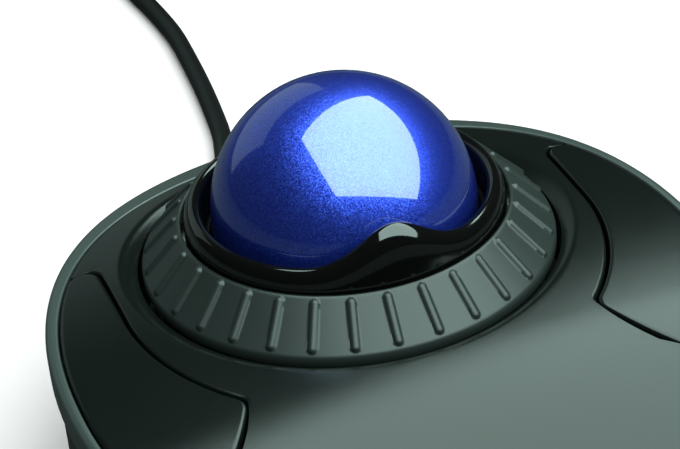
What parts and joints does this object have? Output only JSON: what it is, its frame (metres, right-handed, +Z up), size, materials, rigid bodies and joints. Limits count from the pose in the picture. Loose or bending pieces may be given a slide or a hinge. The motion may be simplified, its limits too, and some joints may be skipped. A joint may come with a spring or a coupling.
{
  "type": "trackball mouse",
  "caption": "Wired desktop trackball: large blue ball in a gloss collar with a raised tongue, ribbed scroll ring around it, two curved side buttons, soft dark deck sloping to the palm, USB lead.",
  "frame": {"origin": "on the desk under the middle of the body's trim band outline, lead left out", "axes": "+Z up; +Y towards the side the lead leaves; +X to the user's right"},
  "size_m": [0.125, 0.3092, 0.058],
  "materials": {
    "case_dark": "fine spark texture",
    "band_grey": "satin moulded",
    "deck_soft": "soft-touch, fine grain",
    "button_soft": "soft-touch, fine grain",
    "gloss_black": "polished",
    "cup_black": "moulded gloss",
    "bearing_ceramic": "polished ceramic",
    "ball_blue": "pearl under clear gloss",
    "ring_rubber": "matte grip",
    "carrier_plastic": "moulded",
    "track_plastic": "acetal",
    "sensor_black": "epoxy",
    "lens_clear": "clear",
    "led_red": "tinted",
    "board_green": "solder mask",
    "pin_gold": "gold plated",
    "capacitor_blue": "printed sleeve, blank",
    "can_steel": "drawn can",
    "switch_black": "moulded",
    "plunger_yellow": "moulded",
    "connector_ivory": "nylon",
    "lead_black": "satin jacket",
    "clamp_plastic": "moulded",
    "tie_black": "hook and loop",
    "screw_steel": "zinc plated",
    "foot_rubber": "matte",
    "plug_steel": "nickel plated"
  },
  "bodies": {
    "casing": {"base_shell": "case_dark", "trim_band": "band_grey", "top_shell": "deck_soft", "ball_collar": "gloss_black", "ball_cup": "cup_black", "bearing_balls": "bearing_ceramic", "ring_track": "track_plastic", "ring_sensor": "sensor_black", "ball_sensor": "sensor_black", "controller_chip": "sensor_black", "sensor_window": "lens_clear", "sensor_led": "led_red", "main_board": "board_green", "sensor_board": "board_green", "board_header": "pin_gold", "usb_contacts": "pin_gold", "board_capacitors": "capacitor_blue", "board_crystal": "can_steel", "left_switch": "switch_black", "right_switch": "switch_black", "lead_socket": "connector_ivory", "lead_connector": "connector_ivory", "usb_tongue": "connector_ivory", "inner_lead": "lead_black", "strain_relief": "lead_black", "usb_cord": "lead_black", "cord_coil": "lead_black", "usb_overmould": "lead_black", "lead_clamp": "clamp_plastic", "coil_tie": "tie_black", "case_screws": "screw_steel", "board_screws": "screw_steel", "cup_screws": "screw_steel", "clamp_screws": "screw_steel", "rubber_feet": "foot_rubber", "usb_shell": "plug_steel"},
    "ball": {"ball": "ball_blue"},
    "scroll_ring": {"ring_grip": "ring_rubber", "ring_carrier": "carrier_plastic"},
    "left_button": {"left_button": "button_soft"},
    "right_button": {"right_button": "button_soft"},
    "left_plunger": {"left_plunger": "plunger_yellow"},
    "right_plunger": {"right_plunger": "plunger_yellow"}
  },
  "joints": [
    {"name": "ball_roll", "type": "hinge", "parent": "casing", "child": "ball", "pos_m": [0, 0.019, 0.038], "axis": [1, 0, 0], "continuous": true},
    {"name": "ring_spin", "type": "hinge", "parent": "casing", "child": "scroll_ring", "pos_m": [0, 0.019, 0.03], "axis": [0, 0, 1], "continuous": true},
    {"name": "left_press", "type": "hinge", "parent": "casing", "child": "left_button", "pos_m": [-0.0384, 0.026, 0.0244], "axis": [1, 0, 0], "range_deg": [0, 1], "stiffness_Nm_per_rad": 0.6, "springref_deg": -1.15},
    {"name": "right_press", "type": "hinge", "parent": "casing", "child": "right_button", "pos_m": [0.0384, 0.026, 0.0244], "axis": [1, 0, 0], "range_deg": [0, 1], "stiffness_Nm_per_rad": 0.6, "springref_deg": -1.15},
    {"name": "left_click", "type": "slide", "parent": "casing", "child": "left_plunger", "axis": [0, 0, -1], "range_m": [0, 0.0006]},
    {"name": "right_click", "type": "slide", "parent": "casing", "child": "right_plunger", "axis": [0, 0, -1], "range_m": [0, 0.0006]}
  ],
  "couplings": [
    {"joint": "left_click", "follows": "left_press", "m_per_rad": 0.029},
    {"joint": "right_click", "follows": "right_press", "m_per_rad": 0.029}
  ]
}
